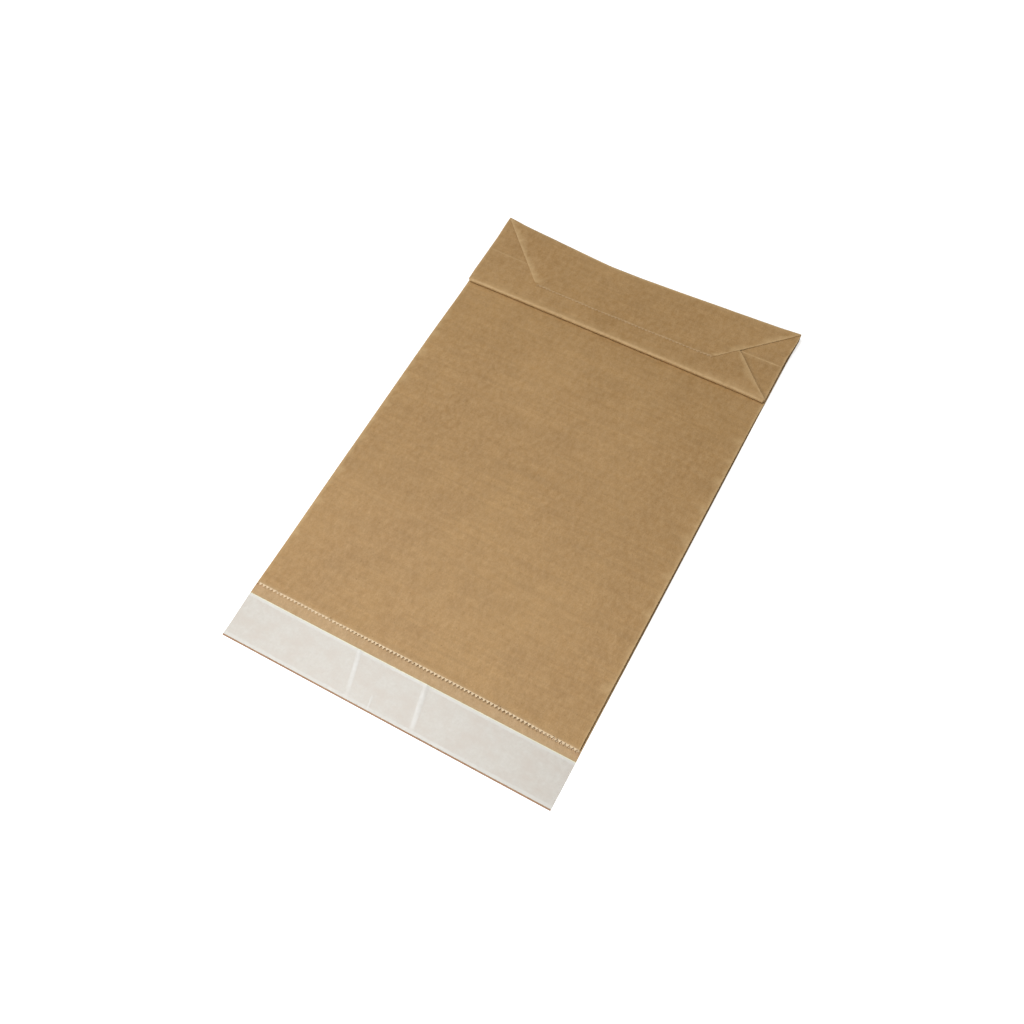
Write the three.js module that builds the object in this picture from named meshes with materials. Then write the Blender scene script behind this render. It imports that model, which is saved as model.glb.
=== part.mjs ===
// A gusseted paper mailer lying flat on its back panel, with its closed end folded over its front
// panel and its adhesive flap open towards -Y.
// The bag is one sheet, glued into a tube. It is built as a stack of flat layers joined by round
// folds, and then the stack is given its real heights: paper keeps its thickness, and the air
// between the layers opens where the folds spring.
import * as THREE from "three";

// Driving sizes, in millimetres.
const WIDTH = 300;
const GUSSET_DEPTH = 82;
const BAG_LENGTH = 440;
const FLAP_LENGTH = 50;
const TURN_IN = 61;
const PAPER = 0.2;
const TOOTH_PITCH = WIDTH / 88;
const TOOTH_DEPTH = 1.6;
const LINER_WIDTH = 40.5;
const LINER_MARGIN = 1;
const LINER_THICKNESS = 0.08;
const GLUE_WIDTH = 35;
const GLUE_THICKNESS = 0.06;
const CLEARANCE = 0.02;

// Heights of the resting bag above the ground.
const FAR_MIDDLE = 1.6;
const FAR_LEFT = 10;
const FAR_RIGHT = 7.8;
const NEAR_FOLD = 5.7;
const MOUTH_RISE = 2.9;
const PANEL_CROWN = 1.1;

// The far edge is drawn in at this place, by this much, where its middle lies lowest.
const DIP_X = -29;
const DIP_DEPTH = 4.1;

const half = WIDTH / 2;
const square = GUSSET_DEPTH / 2;
const total = BAG_LENGTH + FLAP_LENGTH;
const cutX = half - TURN_IN;
const SPACING = 2 * PAPER;
const level = (layer) => layer * SPACING;

// The layers of the closed end, from the ground up.
const BACK = 0;
const LOWER_LEAF = 1;
const UPPER_LEAF = 2;
const FRONT = 3;
const TURNED = 4;
const CORNER = 5;
const BRIDGE = 6;
const SIDE_FLAP = 7;
const NEAR_TUCK = 8;
const NEAR_FLAP = 9;
const FAR_TUCK = 10;
const FAR_FLAP = 11;

// Places are given as [x, s], with s the distance from the far fold towards the flap.
// The sheet is divided along these lines, closer together where it bends.
const COLUMNS = [-147, -130, -113, -109, -78, -40, 0, 40, 78, 109, 113, 130, 147];
const OPEN_COLUMNS = [-130, -78, 0, 78, 130];
const ROWS = [3.2, 10, 21, 32, 45, 57, 70, 80.5, 90, 106, 130, 175, 240, 315, 385];

const bag = { points: [], faces: [] };
const known = new Map();

function vertex([x, s], z) {
  const key = [x, s, z].map((value) => Math.round(value * 1000)).join(" ");
  if (!known.has(key)) {
    known.set(key, bag.points.length);
    bag.points.push([x, -s, z]);
  }
  return known.get(key);
}

function quad(mesh, a, b, c, d) {
  mesh.faces.push([a, b, c], [a, c, d]);
}

// A convex outline with each edge drawn in by its own distance.
function shrink(corners, insets) {
  const count = corners.length;
  let area = 0;
  corners.forEach((p, i) => {
    const q = corners[(i + 1) % count];
    area += p[0] * q[1] - q[0] * p[1];
  });
  const turn = Math.sign(area);
  const lines = corners.map((p, i) => {
    const q = corners[(i + 1) % count];
    const run = Math.hypot(q[0] - p[0], q[1] - p[1]);
    const nx = (-turn * (q[1] - p[1])) / run;
    const ny = (turn * (q[0] - p[0])) / run;
    return [nx, ny, nx * p[0] + ny * p[1] + insets[i]];
  });
  return lines.map((b, i) => {
    const a = lines[(i + count - 1) % count];
    const det = a[0] * b[1] - b[0] * a[1];
    return [(a[2] * b[1] - b[2] * a[1]) / det, (a[0] * b[2] - b[0] * a[2]) / det];
  });
}

// The part of an outline on one side of a line across the sheet.
function clip(outline, axis, limit, sign) {
  const kept = [];
  outline.forEach((p, i) => {
    const q = outline[(i + 1) % outline.length];
    const dp = sign * (p[axis] - limit);
    const dq = sign * (q[axis] - limit);
    if (dp > -1e-6) kept.push(p);
    if (Math.min(dp, dq) < -1e-6 && Math.max(dp, dq) > 1e-6) {
      const t = dp / (dp - dq);
      const crossing = [p[0] + t * (q[0] - p[0]), p[1] + t * (q[1] - p[1])];
      crossing[axis] = limit;
      kept.push(crossing);
    }
  });
  return kept;
}

function cellsOf(outline, columns, rows) {
  const strips = (pieces, axis, lines) =>
    pieces.flatMap((piece) => {
      const bounds = [-1e4, ...lines, 1e4];
      return bounds
        .slice(1)
        .map((high, i) => clip(clip(piece, axis, bounds[i], 1), axis, high, -1))
        .filter((part) => part.length > 2);
    });
  return strips(strips([outline], 0, columns), 1, rows);
}

const areaOf = (p, q, r) =>
  ((q[0] - p[0]) * (r[1] - p[1]) - (r[0] - p[0]) * (q[1] - p[1])) / 2;

// Triangles from the corner that makes the best of them, with the points moved to their places.
function fan(ring, placeOf = (p) => p) {
  let best = null;
  ring.forEach((apex, i) => {
    const around = [...ring.slice(i + 1), ...ring.slice(0, i)];
    const triangles = around.slice(1).map((p, k) => [apex, around[k], p]);
    const areas = triangles.map((t) => areaOf(...t.map(placeOf)));
    const turn = Math.sign(areas.reduce((sum, area) => sum + area, 0));
    const least = Math.min(...areas.map((area) => area * turn));
    if (!best || least > best.least) best = { least, triangles };
  });
  return best.triangles;
}

// The points of a toothed cut are set along its line before the teeth are drawn out.
function withTeeth(ring, line) {
  if (line === null) return ring;
  const on = (p) => Math.abs(p[1] - line) < 1e-6;
  return ring.flatMap((p, i) => {
    const q = ring[(i + 1) % ring.length];
    if (!on(p) || !on(q)) return [p];
    const between = [];
    for (let x = -half + TOOTH_PITCH / 2; x < half - 0.01; x += TOOTH_PITCH / 2) {
      if (x > Math.min(p[0], q[0]) + 0.05 && x < Math.max(p[0], q[0]) - 0.05) between.push([x, line]);
    }
    if (q[0] < p[0]) between.reverse();
    return [p, ...between];
  });
}

// Where a point of a toothed cut lies once its teeth are drawn out.
function drawnOut([x, s], line) {
  if (line === null || Math.abs(s - line) > 1e-6) return [x, s];
  const phase = (x + half) / TOOTH_PITCH;
  return [x, s - 2 * TOOTH_DEPTH * Math.abs(phase - Math.round(phase))];
}

// The triangles of a flat cell. In a toothed cut each tooth is one, and the rest is fanned behind.
function trianglesOf(cell, toothLine) {
  const ring = withTeeth(cell, toothLine);
  if (ring.length === cell.length) return fan(ring);
  const placeOf = (p) => drawnOut(p, toothLine);
  const before = (i) => ring[(i + ring.length - 1) % ring.length];
  const after = (i) => ring[(i + 1) % ring.length];
  const isTip = (p, i) => {
    const highest = Math.max(placeOf(before(i))[1], placeOf(after(i))[1]);
    return Math.abs(p[1] - toothLine) < 1e-6 && placeOf(p)[1] > highest + 1e-6;
  };
  const teeth = ring.flatMap((p, i) => (isTip(p, i) ? [[before(i), p, after(i)]] : []));
  return [...teeth, ...fan(ring.filter((p, i) => !isTip(p, i)), placeOf)];
}

const plates = [];

// One flat piece of the sheet in its layer, its outer walls left for later.
function plate(layer, outlines, toothLine = null) {
  const under = level(layer);
  const top = under + PAPER;
  const edges = new Map();
  for (const { outline, columns = COLUMNS } of outlines) {
    for (const cell of cellsOf(outline, columns, ROWS)) {
      for (const triangle of trianglesOf(cell, toothLine)) {
        const area = areaOf(...triangle.map((p) => drawnOut(p, toothLine)));
        const [a, b, c] = area < 0 ? triangle : [...triangle].reverse();
        if (Math.abs(area) < 1e-5) continue;
        bag.faces.push([a, b, c].map((p) => vertex(p, top)));
        bag.faces.push([c, b, a].map((p) => vertex(p, under)));
        for (const [p, q] of [
          [a, b],
          [b, c],
          [c, a],
        ]) {
          edges.set(vertex(p, top) + " " + vertex(q, top), [p, q]);
        }
      }
    }
  }
  const boundary = new Map();
  for (const [key, [p, q]] of edges) {
    if (!edges.has(vertex(q, top) + " " + vertex(p, top))) boundary.set(key, [p, q]);
  }
  const made = { layer, under, top, boundary };
  plates.push(made);
  return made;
}

// The radius of the round fold that joins two layers.
const bend = (lower, upper) => (level(upper) - level(lower) + PAPER) / 2;

// A round fold between two plates along a crease, bulging towards outward. It runs between the
// places that both plates have on the line where their flat parts end.
function fold(lower, upper, from, to, outward, options = {}) {
  const { tuck = 0, skipStart = 0, skipEnd = 0 } = options;
  const outer = bend(lower.layer, upper.layer);
  const inner = outer - PAPER;
  const steps = outer < 0.5 ? 3 : outer < 1.2 ? 4 : 7;
  const size = Math.hypot(...outward);
  const out = outward.map((value) => value / size);
  const length = Math.hypot(to[0] - from[0], to[1] - from[1]);
  const along = [(to[0] - from[0]) / length, (to[1] - from[1]) / length];
  const start = from.map((value, i) => value - out[i] * (outer + tuck));

  const placesOn = (piece) => {
    const places = new Map();
    for (const p of [...piece.boundary.values()].flat()) {
      const t = (p[0] - start[0]) * along[0] + (p[1] - start[1]) * along[1];
      const away = (p[0] - start[0]) * out[0] + (p[1] - start[1]) * out[1];
      const inside = t > skipStart - 1e-3 && t < length - skipEnd + 1e-3;
      if (Math.abs(away) < 1e-3 && inside) places.set(vertex(p, piece.top), [t, p]);
    }
    return [...places.values()].sort((a, b) => a[0] - b[0]);
  };
  const first = placesOn(lower);
  const second = placesOn(upper);
  const shared = first.filter(([t]) => second.some((other) => Math.abs(other[0] - t) < 1e-3));
  const places = shared.map((item) => item[1]);
  if (places.length < 2) throw new Error("no crease between layers " + lower.layer + "/" + upper.layer);
  for (const piece of [lower, upper]) {
    places.slice(1).forEach((q, i) => {
      const a = vertex(places[i], piece.top);
      const b = vertex(q, piece.top);
      const gone = piece.boundary.delete(a + " " + b) || piece.boundary.delete(b + " " + a);
      if (!gone) throw new Error("a crease misses the edge of layer " + piece.layer);
    });
  }

  const middle = lower.under + outer;
  const arc = (p, radius, step) => {
    const angle = -Math.PI / 2 + (Math.PI * step) / steps;
    const reach = step === 0 || step === steps ? 0 : radius * Math.cos(angle);
    return vertex([p[0] + out[0] * reach, p[1] + out[1] * reach], middle + radius * Math.sin(angle));
  };
  const turn = along[1] * -out[0] + along[0] * out[1];
  const face = (a, b, c, d) => (turn > 0 ? quad(bag, a, b, c, d) : quad(bag, d, c, b, a));
  for (let m = 0; m < steps; m++) {
    places.slice(1).forEach((q, i) => {
      const p = places[i];
      face(arc(p, outer, m), arc(q, outer, m), arc(q, outer, m + 1), arc(p, outer, m + 1));
      face(arc(p, inner, m + 1), arc(q, inner, m + 1), arc(q, inner, m), arc(p, inner, m));
    });
    const p = places[0];
    const q = places[places.length - 1];
    face(arc(p, outer, m + 1), arc(p, inner, m + 1), arc(p, inner, m), arc(p, outer, m));
    face(arc(q, outer, m), arc(q, inner, m), arc(q, inner, m + 1), arc(q, outer, m + 1));
  }
}

// How far the inner folds of the closed end are tucked inside the outer ones.
const CREASE_TUCK = 0.4;
const FAR_FOLD_TUCK = 1.05;
const NEAR_FOLD_TUCK = 0.55;

const single = bend(BACK, LOWER_LEAF);
const creaseInset = CREASE_TUCK + bend(FRONT, TURNED);
const doubleInset = bend(UPPER_LEAF, CORNER);
const bridgeInset = bend(LOWER_LEAF, BRIDGE);
const farInset = bend(BACK, FAR_FLAP);
const nearInset = bend(TURNED, NEAR_FLAP);
const farTuckInset = FAR_FOLD_TUCK + bend(SIDE_FLAP, FAR_TUCK);
const nearTuckInset = NEAR_FOLD_TUCK + bend(SIDE_FLAP, NEAR_TUCK);

const panel = (wide, s0, s1) => [
  [-wide, s0],
  [wide, s0],
  [wide, s1],
  [-wide, s1],
];
const flapAcross = (edge, depth) => [
  [-half, edge],
  [half, edge],
  [cutX, edge + depth],
  [-cutX, edge + depth],
];
const one = (corners, insets) => [{ outline: shrink(corners, insets) }];

// An outline in two parts: finely divided up to one row, and in wide pieces beyond it.
function openOut(outline, row, columns) {
  const wide = clip(outline, 1, row, 1).flatMap((p, i, ring) => {
    const q = ring[(i + 1) % ring.length];
    if (p[1] !== row || q[1] !== row) return [p];
    const between = COLUMNS.filter((x) => x > Math.min(p[0], q[0]) && x < Math.max(p[0], q[0]));
    if (q[0] < p[0]) between.reverse();
    return [p, ...between.map((x) => [x, row])];
  });
  return [{ outline: clip(outline, 1, row, -1) }, { outline: wide, columns }];
}

// The back panel runs on as the closing flap.
const inside = half - single;
const back = plate(BACK, [
  ...openOut(panel(inside, farInset, BAG_LENGTH), 57, []),
  {
    outline: [
      [-half, BAG_LENGTH],
      [-inside, BAG_LENGTH],
      [inside, BAG_LENGTH],
      [half, BAG_LENGTH],
      [half, total],
      [-half, total],
    ],
    columns: [],
  },
]);

// The front panel, its stretch that turns back over itself, and the two flaps across the end.
const wholeFront = panel(half, square, BAG_LENGTH);
const frontOutline = shrink(wholeFront, [creaseInset, single, 0, single]);
const front = plate(FRONT, openOut(frontOutline, 106, OPEN_COLUMNS), BAG_LENGTH);
const turnedBack = panel(half, square, GUSSET_DEPTH);
const turned = plate(TURNED, one(turnedBack, [creaseInset, single, nearInset, single]));
const nearOutline = flapAcross(GUSSET_DEPTH, -TURN_IN);
const nearFlap = plate(NEAR_FLAP, one(nearOutline, [nearInset, single, 0, single]));
const farOutline = flapAcross(0, TURN_IN);
const farFlap = plate(FAR_FLAP, one(farOutline, [farInset, single, 0, single]), TURN_IN);
fold(front, turned, [-half, square], [half, square], [0, -1], { tuck: CREASE_TUCK });
fold(turned, nearFlap, [-half, GUSSET_DEPTH], [half, GUSSET_DEPTH], [0, 1]);
fold(back, farFlap, [-half, 0], [half, 0], [0, -1]);

for (const side of [1, -1]) {
  const at = (x, s) => [side * x, s];
  const inner = half - square;
  const farCorner = at(half, 0);
  const nearCorner = at(half, GUSSET_DEPTH);
  const edgePoint = at(half, square);
  const point = at(inner, square);
  const farSideEnd = at(half, BAG_LENGTH);
  const farInnerEnd = at(inner, BAG_LENGTH);

  // The two leaves of the gusset.
  const leaf = (layer, corners, insets) =>
    plate(layer, openOut(shrink(corners, insets), 106, OPEN_COLUMNS), BAG_LENGTH);
  const lowerLeaf = leaf(
    LOWER_LEAF,
    [farCorner, point, farInnerEnd, farSideEnd],
    [bridgeInset, single, 0, single],
  );
  const upperLeaf = leaf(
    UPPER_LEAF,
    [edgePoint, point, farInnerEnd, farSideEnd],
    [doubleInset, single, 0, single],
  );
  fold(back, lowerLeaf, farCorner, farSideEnd, [side, 0], { skipStart: 3 });
  fold(lowerLeaf, upperLeaf, point, farInnerEnd, [-side, 0], { skipStart: 3 });
  fold(upperLeaf, front, edgePoint, farSideEnd, [side, 0]);

  // The corner that turns back with the front panel, the bridge over it, and the side flap.
  const corner = plate(
    CORNER,
    one([nearCorner, edgePoint, point], [single, doubleInset, single]),
  );
  const bridge = plate(BRIDGE, one([farCorner, point, nearCorner], [bridgeInset, single, single]));
  const sideFlap = plate(
    SIDE_FLAP,
    one([farCorner, nearCorner, at(cutX, GUSSET_DEPTH), at(cutX, 0)], [
      single,
      nearTuckInset,
      0,
      farTuckInset,
    ]),
  );
  fold(turned, corner, edgePoint, nearCorner, [side, 0], { skipEnd: 1.2 });
  fold(upperLeaf, corner, point, edgePoint, [0, -1], { skipStart: 2 });
  fold(lowerLeaf, bridge, farCorner, point, [-side, -1], { skipStart: 3, skipEnd: 2 });
  fold(corner, bridge, nearCorner, point, [-side, 1], { skipStart: 1.5, skipEnd: 2 });
  fold(bridge, sideFlap, farCorner, nearCorner, [side, 0], { skipStart: 3, skipEnd: 1.2 });

  // The tucks under the near and far flaps.
  const nearPoint = at(cutX, GUSSET_DEPTH - TURN_IN);
  const nearCut = at(cutX, GUSSET_DEPTH);
  const farPoint = at(cutX, TURN_IN);
  const farCut = at(cutX, 0);
  const nearTuck = plate(
    NEAR_TUCK,
    one([nearCorner, nearCut, nearPoint], [nearTuckInset, 0, single]),
  );
  const farTuck = plate(FAR_TUCK, one([farCorner, farCut, farPoint], [farTuckInset, 0, single]));
  fold(sideFlap, nearTuck, nearCut, nearCorner, [0, 1], { tuck: NEAR_FOLD_TUCK, skipEnd: 2 });
  fold(nearTuck, nearFlap, nearCorner, nearPoint, [side, -1], { skipStart: 1.5, skipEnd: 1 });
  fold(sideFlap, farTuck, farCut, farCorner, [0, -1], { tuck: FAR_FOLD_TUCK, skipEnd: 3 });
  fold(farTuck, farFlap, farCorner, farPoint, [side, 1], { skipStart: 3, skipEnd: 0.5 });
}

for (const { under, top, boundary } of plates) {
  for (const [p, q] of boundary.values()) {
    quad(bag, vertex(p, under), vertex(q, under), vertex(q, top), vertex(p, top));
  }
}

// The toothed cuts: the mouth through the front panel and gusset leaves, and the far flap's edge.
for (const p of bag.points) {
  const onMouth = Math.abs(p[1] + BAG_LENGTH) < 1e-3 && p[2] > 1.5 * PAPER;
  const onFlap = Math.abs(p[1] + TURN_IN) < 1e-3 && p[2] > level(FAR_FLAP) - 0.01;
  if (!onMouth && !onFlap) continue;
  const phase = (p[0] + half) / TOOTH_PITCH;
  p[1] += 2 * TOOTH_DEPTH * Math.abs(phase - Math.round(phase));
}

const smooth = (from, to, value) => THREE.MathUtils.smoothstep((value - from) / (to - from), 0, 1);

// The paper of one layer at a place, and next to nothing where the layer is missing.
function paperAt(layer, x, s) {
  const wide = Math.abs(x);
  const gusset = smooth(half - square - 17, half - square - 3, wide);
  const sides = smooth(cutX - 17, cutX - 3, wide);
  const doubled = smooth(square - 12, square - 1, s);
  const present = {
    [LOWER_LEAF]: gusset,
    [UPPER_LEAF]: gusset * doubled,
    [FRONT]: doubled,
    [TURNED]: doubled,
    [CORNER]: gusset * doubled,
    [BRIDGE]: gusset,
    [SIDE_FLAP]: sides,
    [NEAR_TUCK]: sides,
    [NEAR_FLAP]: smooth(6, GUSSET_DEPTH - TURN_IN - 2, s),
    [FAR_TUCK]: sides,
  };
  return PAPER * Math.max(0.1, present[layer] ?? 1);
}

function paperUpTo(layer, x, s) {
  let sum = 0;
  for (let k = 0; k <= layer; k++) sum += paperAt(k, x, s);
  return sum;
}

// Where a place lies between the dip in the far edge and the corner on its side, 0 to about 1.
function fromDip(x) {
  const reach = x < DIP_X ? half + DIP_X : half - DIP_X;
  return Math.hypot((x - DIP_X) / reach, 0.11) - 0.11;
}

function closedAir(x, s) {
  const corner = x < DIP_X ? FAR_LEFT : FAR_RIGHT;
  const far = FAR_MIDDLE + 1.11 * (corner - FAR_MIDDLE) * fromDip(x);
  const top = THREE.MathUtils.lerp(far, NEAR_FOLD, Math.min(1, Math.max(0, s / GUSSET_DEPTH)));
  return (top - paperUpTo(FAR_FLAP, x, s)) / FAR_FLAP;
}

function openAir(x, s) {
  const across = x / half;
  const along = (s - GUSSET_DEPTH) / (BAG_LENGTH - GUSSET_DEPTH);
  const hump = 1 - across * across;
  const crown = PANEL_CROWN * Math.sin(Math.PI * along) * (1 + 0.7 * hump);
  const top = MOUTH_RISE + 0.35 * across - 0.7 * hump + crown;
  return (top - paperUpTo(FRONT, x, s)) / FRONT;
}

// The air between neighbouring layers at a place.
function airAt(x, s) {
  if (s <= GUSSET_DEPTH) return closedAir(x, s);
  const share = smooth(GUSSET_DEPTH, GUSSET_DEPTH + 80, s);
  return THREE.MathUtils.lerp(closedAir(x, GUSSET_DEPTH), openAir(x, s), share);
}

// The resting height of a point of the stack.
function heightAt(x, s, stack) {
  const air = airAt(x, s);
  const layer = Math.min(FAR_FLAP, Math.floor(stack / SPACING + 1e-3));
  const inside = Math.max(0, stack - level(layer));
  const below = layer > 0 ? paperUpTo(layer - 1, x, s) + layer * air : 0;
  const part = Math.min(1, inside / PAPER) * paperAt(layer, x, s);
  return below + part + (Math.max(0, inside - PAPER) / (SPACING - PAPER)) * air;
}

for (const p of bag.points) {
  const [x, y, stack] = p;
  const s = -y;
  const bulge = smooth(-60, 75, s) * smooth(340, 75, s);
  const spread = 0.7 * smooth(total, BAG_LENGTH, s) + 0.7 * bulge + 0.8 * smooth(30, 0, s);
  const drift = 0.8 * smooth(total, BAG_LENGTH - 10, s) + bulge;
  const dip = DIP_DEPTH * Math.max(0, 1 - fromDip(x)) * (1 - smooth(0, 50, s));
  p[0] = x * (1 + spread / half) - drift;
  p[1] = y - dip;
  p[2] = heightAt(x, s, stack);
}

function geometryOf(mesh) {
  return new THREE.BufferGeometry()
    .setAttribute("position", new THREE.Float32BufferAttribute(mesh.points.flat(), 3))
    .setIndex(mesh.faces.flat());
}

// A thin strip across the flap. Each column of its grid is [x, slant, rise, first s, last s].
function strip(columns, s0, s1, rows, z0, thickness) {
  const mesh = { points: [], faces: [] };
  const count = columns.length;
  for (let j = 0; j <= rows; j++) {
    const s = s0 + ((s1 - s0) * j) / rows;
    for (const [x, slant, rise, first, last] of columns) {
      const share = (s - first) / (last - first);
      const fade = rise > 0 && share >= 0 && share <= 1 ? 1 - 0.75 * share : 0;
      const z = z0 + rise * fade;
      const place = x + slant * (s - s0);
      mesh.points.push([place, -s, z], [place, -s, z + thickness]);
    }
  }
  const under = (i, j) => 2 * (j * count + i);
  const over = (i, j) => under(i, j) + 1;
  for (let j = 0; j < rows; j++) {
    for (let i = 0; i + 1 < count; i++) {
      quad(mesh, over(i, j), over(i, j + 1), over(i + 1, j + 1), over(i + 1, j));
      quad(mesh, under(i, j), under(i + 1, j), under(i + 1, j + 1), under(i, j + 1));
    }
    const e = count - 1;
    quad(mesh, under(0, j), under(0, j + 1), over(0, j + 1), over(0, j));
    quad(mesh, under(e, j), over(e, j), over(e, j + 1), under(e, j + 1));
  }
  for (let i = 0; i + 1 < count; i++) {
    quad(mesh, under(i, 0), over(i, 0), over(i + 1, 0), under(i + 1, 0));
    quad(mesh, under(i, rows), under(i + 1, rows), over(i + 1, rows), over(i, rows));
  }
  return mesh;
}

// The release liner over the whole width of the flap, with three slanting air channels.
const linerEnd = total - LINER_MARGIN;
const linerStart = linerEnd - LINER_WIDTH;
const middleOfLiner = (linerStart + linerEnd) / 2;
const channels = [
  { x: -43.5, slant: 0.27, width: 5, rise: 0.35, first: linerStart, last: linerEnd - 3 },
  { x: -18.5, slant: 0.14, width: 2.4, rise: 0.18, first: linerEnd - 9, last: linerEnd },
  { x: 18.5, slant: 0.21, width: 5.6, rise: 0.4, first: linerStart, last: linerEnd - 4 },
];
const linerColumns = [[-half, 0, 0, 0, 1]];
for (const { x, slant, width, rise, first, last } of channels) {
  for (const [offset, share] of [
    [-0.5, 0],
    [-0.22, 0.75],
    [0, 1],
    [0.22, 0.75],
    [0.5, 0],
  ]) {
    linerColumns.push([x + offset * width, slant, share * rise, first, last]);
  }
}
linerColumns.push([half, 0, 0, 0, 1]);
const glueTop = PAPER + CLEARANCE + GLUE_THICKNESS;
const liner = strip(
  linerColumns,
  linerStart,
  linerEnd,
  9,
  glueTop + CLEARANCE,
  LINER_THICKNESS,
);
const glue = strip(
  [
    [-half, 0, 0, 0, 1],
    [half, 0, 0, 0, 1],
  ],
  middleOfLiner - GLUE_WIDTH / 2,
  middleOfLiner + GLUE_WIDTH / 2,
  1,
  PAPER + CLEARANCE,
  GLUE_THICKNESS,
);

const kraft = new THREE.MeshStandardMaterial({ color: 0xb08f67, roughness: 0.85, metalness: 0 });
const gum = new THREE.MeshStandardMaterial({ color: 0xd9c9b4, roughness: 0.35, metalness: 0 });
const silicone = new THREE.MeshStandardMaterial({ color: 0xe2dad0, roughness: 0.5, metalness: 0 });

// The origin goes to the middle of the resting face.
const bagGeometry = geometryOf(bag);
bagGeometry.computeBoundingBox();
const middle = bagGeometry.boundingBox.getCenter(new THREE.Vector3());

const mailer = new THREE.Group();
for (const [name, geometry, material] of [
  ["paper_bag", bagGeometry, kraft],
  ["adhesive_strip", geometryOf(glue), gum],
  ["release_liner", geometryOf(liner), silicone],
]) {
  geometry.translate(-middle.x, -middle.y, 0);
  const mesh = new THREE.Mesh(geometry, material);
  mesh.name = name;
  mailer.add(mesh);
}

export default mailer;
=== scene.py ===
# The looks of the gusseted paper mailer: kraft sheet, adhesive, release liner, floor, light, camera.
import heapq
import math

import bmesh
import bpy
import numpy as np
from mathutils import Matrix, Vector, noise


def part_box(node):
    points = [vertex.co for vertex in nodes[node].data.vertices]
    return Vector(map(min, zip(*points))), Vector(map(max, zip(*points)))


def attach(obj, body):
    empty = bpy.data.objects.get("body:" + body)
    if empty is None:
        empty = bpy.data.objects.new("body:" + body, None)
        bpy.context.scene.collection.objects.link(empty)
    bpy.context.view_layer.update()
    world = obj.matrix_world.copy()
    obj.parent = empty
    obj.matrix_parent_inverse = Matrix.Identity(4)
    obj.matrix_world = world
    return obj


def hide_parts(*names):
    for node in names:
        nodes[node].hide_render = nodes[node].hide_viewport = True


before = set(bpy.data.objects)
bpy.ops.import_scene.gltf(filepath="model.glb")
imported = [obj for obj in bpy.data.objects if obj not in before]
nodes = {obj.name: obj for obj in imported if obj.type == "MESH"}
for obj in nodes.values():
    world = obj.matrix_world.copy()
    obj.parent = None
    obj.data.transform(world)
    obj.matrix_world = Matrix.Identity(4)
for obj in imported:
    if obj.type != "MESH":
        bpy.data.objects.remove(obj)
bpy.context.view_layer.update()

MM = 0.001

# Camera: a 36 mm sensor and the photograph's viewing angle.
LENS = 40.43
CAMERA_PLACE = (0.24772, -0.43182, 0.85985)
CAMERA_TURN = (0.49429, 0.02693, 0.50156)


def add_camera():
    """The photograph's view."""
    data = bpy.data.cameras.new("camera")
    data.lens = LENS
    data.sensor_width = 36
    data.clip_start = 0.01
    camera = bpy.data.objects.new("camera", data)
    camera.location = CAMERA_PLACE
    camera.rotation_euler = CAMERA_TURN
    bpy.context.scene.collection.objects.link(camera)
    bpy.context.scene.camera = camera


add_camera()


def linear(red, green, blue):
    """A colour given as it looks on a screen, 0 to 255, as linear light."""
    def one(v):
        v /= 255
        return v / 12.92 if v <= 0.04045 else ((v + 0.055) / 1.055) ** 2.4
    return (one(red), one(green), one(blue), 1)


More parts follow.
